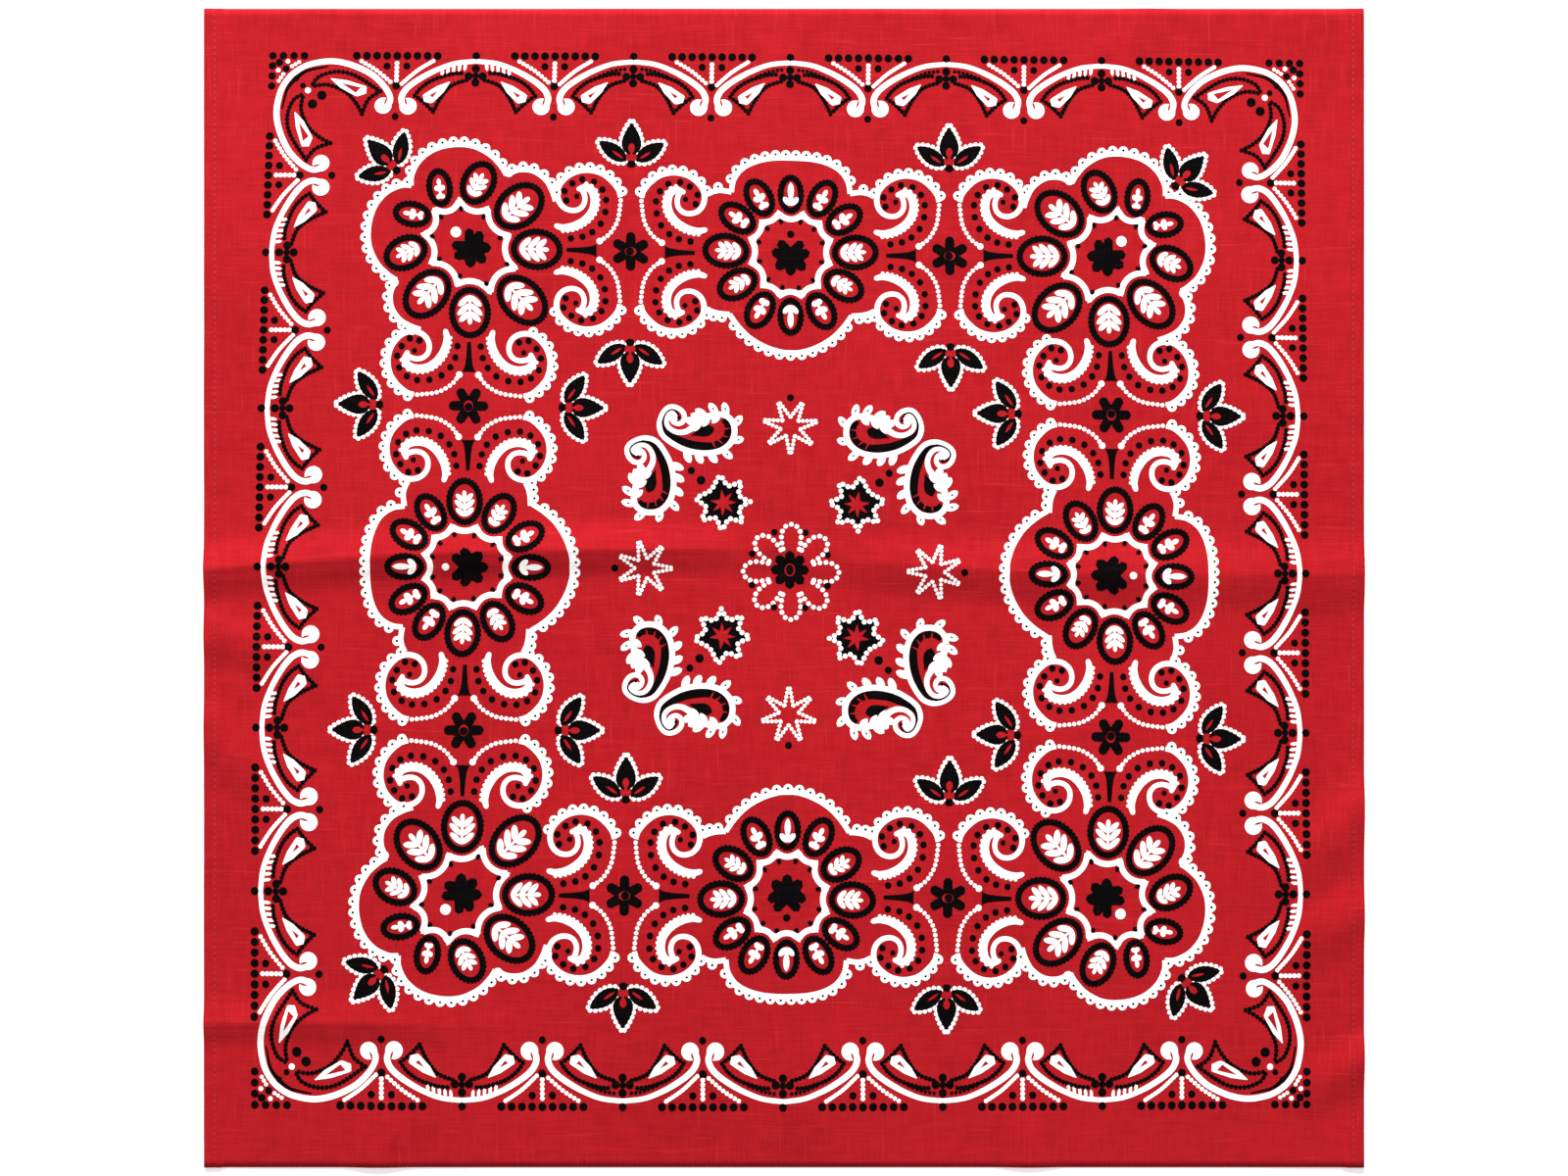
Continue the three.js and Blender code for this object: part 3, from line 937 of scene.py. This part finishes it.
def red_cotton(colours):
    """Plain-woven cotton, dyed red: matt, with single threads a shade lighter or darker, pale slubs where a
    thick thread took less dye, and broad patches where the dye is a little deeper."""
    material, tree = new_material("red_cotton_lawn")
    place, tone, slubs, bump = plain_weave(tree)
    patches = add_node(tree, "ShaderNodeTexNoise", inputs={"Vector": place, "Scale": 9.0, "Detail": 2.0})
    mottle = add_node(tree, "ShaderNodeTexNoise", inputs={"Vector": place, "Scale": 120.0, "Detail": 2.0})
    uneven = add_node(tree, "ShaderNodeMix", inputs={
        "Factor": EVEN, "A": patches.outputs[0], "B": mottle.outputs[0]})
    taken = add_node(tree, "ShaderNodeMix", inputs={"Factor": EVEN, "A": tone, "B": uneven.outputs[0]})
    depth = add_node(tree, "ShaderNodeMapRange", inputs={
        "Value": taken.outputs[0], "From Min": 0.38, "From Max": 0.62})
    dyed = add_node(tree, "ShaderNodeMix", COLOUR_MIX, {
        MIX_SHARE: depth.outputs[0], MIX_A: colours.red_deep, MIX_B: colours.red_light})
    cotton = add_node(tree, "ShaderNodeMix", COLOUR_MIX, {
        MIX_SHARE: slubs, MIX_A: dyed.outputs[MIX_RESULT], MIX_B: colours.red_slub})
    finish_material(tree, cotton.outputs[MIX_RESULT], bump, roughness=0.9, sheen=0.04, specular=0.12)
    return material


def ink_on_weave(tree, low, high, at_low, at_high):
    """An ink's colour, from one shade to another between two tones of the threads, and the weave's bump."""
    _, tone, _, bump = plain_weave(tree)
    share = add_node(tree, "ShaderNodeMapRange", inputs={"Value": tone, "From Min": low, "From Max": high})
    colour = add_node(tree, "ShaderNodeMix", COLOUR_MIX, {
        MIX_SHARE: share.outputs[0], MIX_A: at_low, MIX_B: at_high})
    return colour.outputs[MIX_RESULT], bump


def white_ink(colours):
    """White where the dye was discharged: flat and matt, with a hint of red between the threads."""
    material, tree = new_material("white_discharge_print")
    colour, bump = ink_on_weave(tree, 0.3, 0.62, colours.white_thin, colours.white)
    finish_material(tree, colour, bump, roughness=0.85, sheen=0.05, specular=0.15)
    return material


def black_ink(colours):
    """Black pigment on the cloth: deep, dry and matt, thin on the tops of some threads."""
    material, tree = new_material("black_pigment_print")
    colour, bump = ink_on_weave(tree, 0.5, 0.75, colours.black, colours.black_thin)
    finish_material(tree, colour, bump, roughness=0.85, sheen=0.0, specular=0.04)
    return material


def red_thread(colours):
    """Spun polyester sewing thread in the cloth's red: a soft shine across its fine twist, and painted shade
    in the grooves between its plies.
    """
    material, tree = new_material("red_sewing_thread")
    place = add_node(tree, "ShaderNodeTexCoord").outputs["Object"]
    twist = add_node(tree, "ShaderNodeTexWave", {"bands_direction": "DIAGONAL"},
                     {"Vector": place, "Scale": 0.5 / (PLY * MM), "Distortion": 0.6}).outputs[1]
    # The grooves of the twist take the darker thread colour: painted shade between the plies
    colour = add_node(tree, "ShaderNodeMix", COLOUR_MIX, {
        MIX_SHARE: twist, MIX_A: colours.thread_in_shade, MIX_B: colours.thread})
    bump = add_node(tree, "ShaderNodeBump", inputs={"Height": twist, "Strength": 0.5, "Distance": 0.1 * MM})
    finish_material(tree, colour.outputs[MIX_RESULT], bump.outputs[0],
                    roughness=0.5, sheen=0.1, specular=0.45)
    return material


def pale_floor(colours):
    """A smooth, matt, nearly white table top, lit a little from below, so that shadows on it stay faint."""
    material, tree = new_material("pale_table_top")
    place = add_node(tree, "ShaderNodeTexCoord").outputs["Object"]
    cloudy = add_node(tree, "ShaderNodeTexNoise", inputs={"Vector": place, "Scale": 2.0})
    colour = add_node(tree, "ShaderNodeMix", COLOUR_MIX, {
        MIX_SHARE: cloudy.outputs[0], MIX_A: colours.floor, MIX_B: colours.floor_light})
    finish_material(tree, colour.outputs[MIX_RESULT], None,
                    roughness=0.9, sheen=0.0, specular=0.2, glow=0.4)
    return material


# Pieces
def object_from(bm, name, material):
    """Turns a bmesh into a smooth object at the origin."""
    mesh = bpy.data.meshes.new(name)
    bm.to_mesh(mesh)
    bm.free()
    mesh.materials.append(material)
    mesh.shade_smooth()
    made = bpy.data.objects.new(name, mesh)
    bpy.context.scene.collection.objects.link(made)
    return made


def grid_over(xs, ys, height):
    """A grid whose lines lie at xs and ys, and whose points lie at the height given for each place."""
    bm = bmesh.new()
    bmesh.ops.create_grid(bm, x_segments=len(xs) - 1, y_segments=len(ys) - 1, size=1)
    for vertex in bm.verts:
        x = xs[round((vertex.co.x + 1) / 2 * (len(xs) - 1))]
        y = ys[round((vertex.co.y + 1) / 2 * (len(ys) - 1))]
        vertex.co = Vector((x, y, height(x, y))) * MM
    return bm


def given_thickness(made, thickness):
    """Thickens a sheet upwards, away from its underside."""
    wall = made.modifiers.new("cloth_thickness", "SOLIDIFY")
    wall.thickness = thickness
    wall.offset = 1.0
    return made


def cloth_panel(sizes, material):
    made = object_from(grid_over(X_LINES, Y_LINES, cloth_height), "cotton_panel", material)
    return given_thickness(made, sizes.cloth_thickness)


def hem_strip(side, material):
    """The edge of the cloth, turned under twice, as one flat folded strip with a rounded outer edge."""
    inner, outer = HALF - HEM_WIDTH, HALF - HEM_CLEAR
    profile = [(inner, 0.22), (inner + 0.25, 0.0), (outer - 0.45, 0.0), (outer - 0.12, 0.16), (outer, 0.5),
               (outer - 0.12, 0.84), (outer - 0.45, HEM_WALL), (inner + 0.25, HEM_WALL), (inner, 0.78),
               (inner + 0.6, 0.5)]
    if side < 0:
        profile = profile[::-1]
    bm = bmesh.new()
    rim = [bm.verts.new(Vector((side * x, -HALF, z + rest_height(side * x, -HALF))) * MM) for x, z in profile]
    bm.faces.new(rim)
    for y in Y_LINES[1:]:
        loop = [edge for edge in bm.edges if all(v in rim for v in edge.verts)]
        grown = bmesh.ops.extrude_edge_only(bm, edges=loop)["geom"]
        rim = [part for part in grown if isinstance(part, bmesh.types.BMVert)]
        for vertex in rim:
            x, old_y = vertex.co.x / MM, vertex.co.y / MM
            lift = rest_height(x, y) - rest_height(x, old_y)
            vertex.co = Vector((x, y, vertex.co.z / MM + lift)) * MM
    bmesh.ops.contextual_create(bm, geom=[edge for edge in bm.edges if all(v in rim for v in edge.verts)])
    bmesh.ops.recalc_face_normals(bm, faces=bm.faces[:])
    return object_from(bm, "hem_turned_left" if side < 0 else "hem_turned_right", material)


def stitch_row(sizes, side, material):
    """One row of lock stitches along a hem, each a short rounded length of thread."""
    bm = bmesh.new()
    pitch = sizes.stitch_pitch / MM
    count = int((2 * HALF - ROW_END) / pitch)
    x = side * (HALF - STITCH_IN)
    for k in range(count):
        y = (k - (count - 1) / 2) * pitch
        top = cloth_height(x, y) + sizes.cloth_thickness / MM
        lean = 0.12 * noise.noise(Vector((x, k * 0.9, 5.0)))
        for vertex in bmesh.ops.create_uvsphere(bm, u_segments=8, v_segments=6, radius=0.5)["verts"]:
            across = vertex.co.x * sizes.thread_width / MM
            along = vertex.co.z * sizes.stitch_length / MM
            up = STITCH_LIFT + vertex.co.y * STITCH_HEIGHT
            vertex.co = Vector((x + across + lean * along, y + along, top + up)) * MM
    bmesh.ops.recalc_face_normals(bm, faces=bm.faces[:])
    return object_from(bm, "stitching_left" if side < 0 else "stitching_right", material)


def ink_layers(sizes, materials):
    """The two inks as thin skins that lie on the cloth and share its form."""
    lift = (sizes.cloth_thickness + sizes.ink_lift) / MM
    layers = {ink: (bmesh.new(), {}) for ink in materials}
    for ink, corners in cut_print(whole_print()):
        bm, known = layers[ink]
        face = []
        for corner in corners:
            key = (round(corner.x, 3), round(corner.y, 3))
            if key not in known:
                known[key] = bm.verts.new(Vector((*key, cloth_height(*key) + lift)) * MM)
            face.append(known[key])
        if len(set(face)) == 3 and not bm.faces.get(face):
            bm.faces.new(face)
    return [object_from(layers[ink][0], "print_" + ink, material) for ink, material in materials.items()]


# Properties
def colour_property(name, hexed, description):
    return bpy.props.FloatVectorProperty(
        name=name, description=description, subtype="COLOR", size=4, min=0, max=1, default=linear(hexed))


def length_property(name, millimetres, description):
    return bpy.props.FloatProperty(
        name=name, description=description, unit="LENGTH", min=0, precision=5, default=millimetres * MM)


class BandanaSizes(bpy.types.PropertyGroup):
    cloth_thickness: length_property("Cloth thickness", 0.45, "Thickness of the woven cotton")
    ink_lift: length_property("Ink lift", 0.15, "How far the ink stands over the cloth's upper face")
    stitch_length: length_property("Stitch length", 2.3, "Length of thread that shows in one stitch")
    stitch_pitch: length_property("Stitch pitch", 3.1, "From one stitch to the next")
    thread_width: length_property("Thread width", 0.5, "Width of the sewing thread")


class BandanaColours(bpy.types.PropertyGroup):
    red_light: colour_property("Red", "#AF141D", "Cotton where the dye is lighter")
    red_deep: colour_property("Deep red", "#9A0C16", "Cotton where the dye is deeper")
    red_slub: colour_property("Slub", "#B42325", "Thick threads that took less dye")
    white: colour_property("White", "#FFFFFC", "White print")
    white_thin: colour_property("Thin white", "#F4E6E2", "White print between the threads")
    black: colour_property("Black", "#040304", "Black print")
    black_thin: colour_property("Thin black", "#170A0A", "Black print on the tops of the threads")
    thread: colour_property("Thread", "#B51824", "Sewing thread")
    # Painted shade: the darker colour given to the thread in the grooves between its plies
    thread_in_shade: colour_property("Thread in painted shade", "#870E18", "Sewing thread between its plies")
    floor: colour_property("Floor", "#F7F7F6", "Table top")
    floor_light: colour_property("Light floor", "#FAFAF9", "Table top where it is lighter")


class BANDANA_OT_cloth(bpy.types.Operator):
    """Lays the cotton square over its packed form"""
    bl_idname = "bandana.cloth"
    bl_label = "Cotton square"

    def execute(self, context):
        scene = context.scene
        cotton = red_cotton(scene.bandana_colours)
        panel = cloth_panel(scene.bandana_sizes, cotton)
        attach(panel, "root")
        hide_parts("panel")
        for side, node in ((-1, "hem_left"), (1, "hem_right")):
            hem = hem_strip(side, cotton)
            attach(hem, "root")
            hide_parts(node)
        return {"FINISHED"}


class BANDANA_OT_stitching(bpy.types.Operator):
    """Sews a row of stitches along each turned hem"""
    bl_idname = "bandana.stitching"
    bl_label = "Hem stitching"

    def execute(self, context):
        scene = context.scene
        thread = red_thread(scene.bandana_colours)
        for side in (-1, 1):
            row = stitch_row(scene.bandana_sizes, side, thread)
            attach(row, "root")
        return {"FINISHED"}


class BANDANA_OT_print(bpy.types.Operator):
    """Prints the white and the black design on the cloth"""
    bl_idname = "bandana.print"
    bl_label = "Print"

    def execute(self, context):
        scene = context.scene
        colours = scene.bandana_colours
        inks = {WHITE: white_ink(colours), BLACK: black_ink(colours)}
        for layer, slot in zip(ink_layers(scene.bandana_sizes, inks), ("white_print", "black_print")):
            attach(layer, "root")
        return {"FINISHED"}


PHOTO_WIDTH = 1600  # pixels
PHOTO_SCALE = 0.473  # millimetres to a pixel of the photograph, at the cloth
SENSOR, LENS = 36.0, 85.0
FLOOR_HALF = 6.0
LAMP_PLACE = (-0.2, 3.1, 1.7)  # low over the far side, so that the creases throw a soft shade
LAMP_SIZE, LAMP_POWER = 1.5, 268
DAYLIGHT = 0.48


def table_top(material):
    bm = bmesh.new()
    bmesh.ops.create_grid(bm, x_segments=4, y_segments=4, size=FLOOR_HALF)
    return object_from(bm, "floor", material)


def window_light():
    """A square area light that faces the middle of the cloth."""
    data = bpy.data.lights.new("window_light", "AREA")
    data.energy = LAMP_POWER
    data.size = LAMP_SIZE
    lamp = bpy.data.objects.new("window_light", data)
    lamp.location = LAMP_PLACE
    lamp.rotation_euler = (-Vector(LAMP_PLACE)).to_track_quat("-Z", "Y").to_euler()
    bpy.context.scene.collection.objects.link(lamp)


def even_daylight():
    world = bpy.data.worlds.new("even_daylight")
    world.use_nodes = True
    sky = world.node_tree.nodes["Background"]
    sky.inputs["Color"].default_value = (1, 1, 1, 1)
    sky.inputs["Strength"].default_value = DAYLIGHT
    return world


def camera_above():
    """A camera straight above the cloth, at the distance that fills the photograph's width."""
    data = bpy.data.cameras.new("camera_above")
    data.sensor_width = SENSOR
    data.lens = LENS
    data.clip_start = 0.05
    camera = bpy.data.objects.new("camera_above", data)
    camera.location = (0, 0, PHOTO_WIDTH * PHOTO_SCALE * MM * LENS / SENSOR)
    bpy.context.scene.collection.objects.link(camera)
    return camera


class BANDANA_OT_stage(bpy.types.Operator):
    """Sets out the table top, the lights and the camera straight above"""
    bl_idname = "bandana.stage"
    bl_label = "Stage"

    def execute(self, context):
        scene = context.scene
        floor = table_top(pale_floor(scene.bandana_colours))
        window_light()
        scene.world = even_daylight()
        scene.view_settings.view_transform = "Standard"
        scene.camera = camera_above()
        return {"FINISHED"}


class BANDANA_PT_panel(bpy.types.Panel):
    """Lists the pieces of the bandana with their sizes and colours"""
    bl_idname = "BANDANA_PT_panel"
    bl_label = "Bandana"
    bl_space_type = "VIEW_3D"
    bl_region_type = "UI"
    bl_category = "Bandana"

    def draw(self, context):
        scene = context.scene
        for operator in OPERATORS:
            self.layout.operator(operator.bl_idname)
        for group in (scene.bandana_sizes, scene.bandana_colours):
            box = self.layout.box()
            for name in group.bl_rna.properties.keys():
                if name not in ("rna_type", "name"):
                    box.prop(group, name)


OPERATORS = (BANDANA_OT_stage, BANDANA_OT_cloth, BANDANA_OT_stitching, BANDANA_OT_print)
CLASSES = (BandanaSizes, BandanaColours, *OPERATORS, BANDANA_PT_panel)


def register():
    for each in CLASSES:
        bpy.utils.register_class(each)
    bpy.types.Scene.bandana_sizes = bpy.props.PointerProperty(type=BandanaSizes)
    bpy.types.Scene.bandana_colours = bpy.props.PointerProperty(type=BandanaColours)


def unregister():
    del bpy.types.Scene.bandana_colours
    del bpy.types.Scene.bandana_sizes
    for each in reversed(CLASSES):
        bpy.utils.unregister_class(each)


def main():
    register()
    bpy.ops.bandana.stage()
    bpy.ops.bandana.cloth()
    bpy.ops.bandana.stitching()
    bpy.ops.bandana.print()


if __name__ == "__main__":
    main()
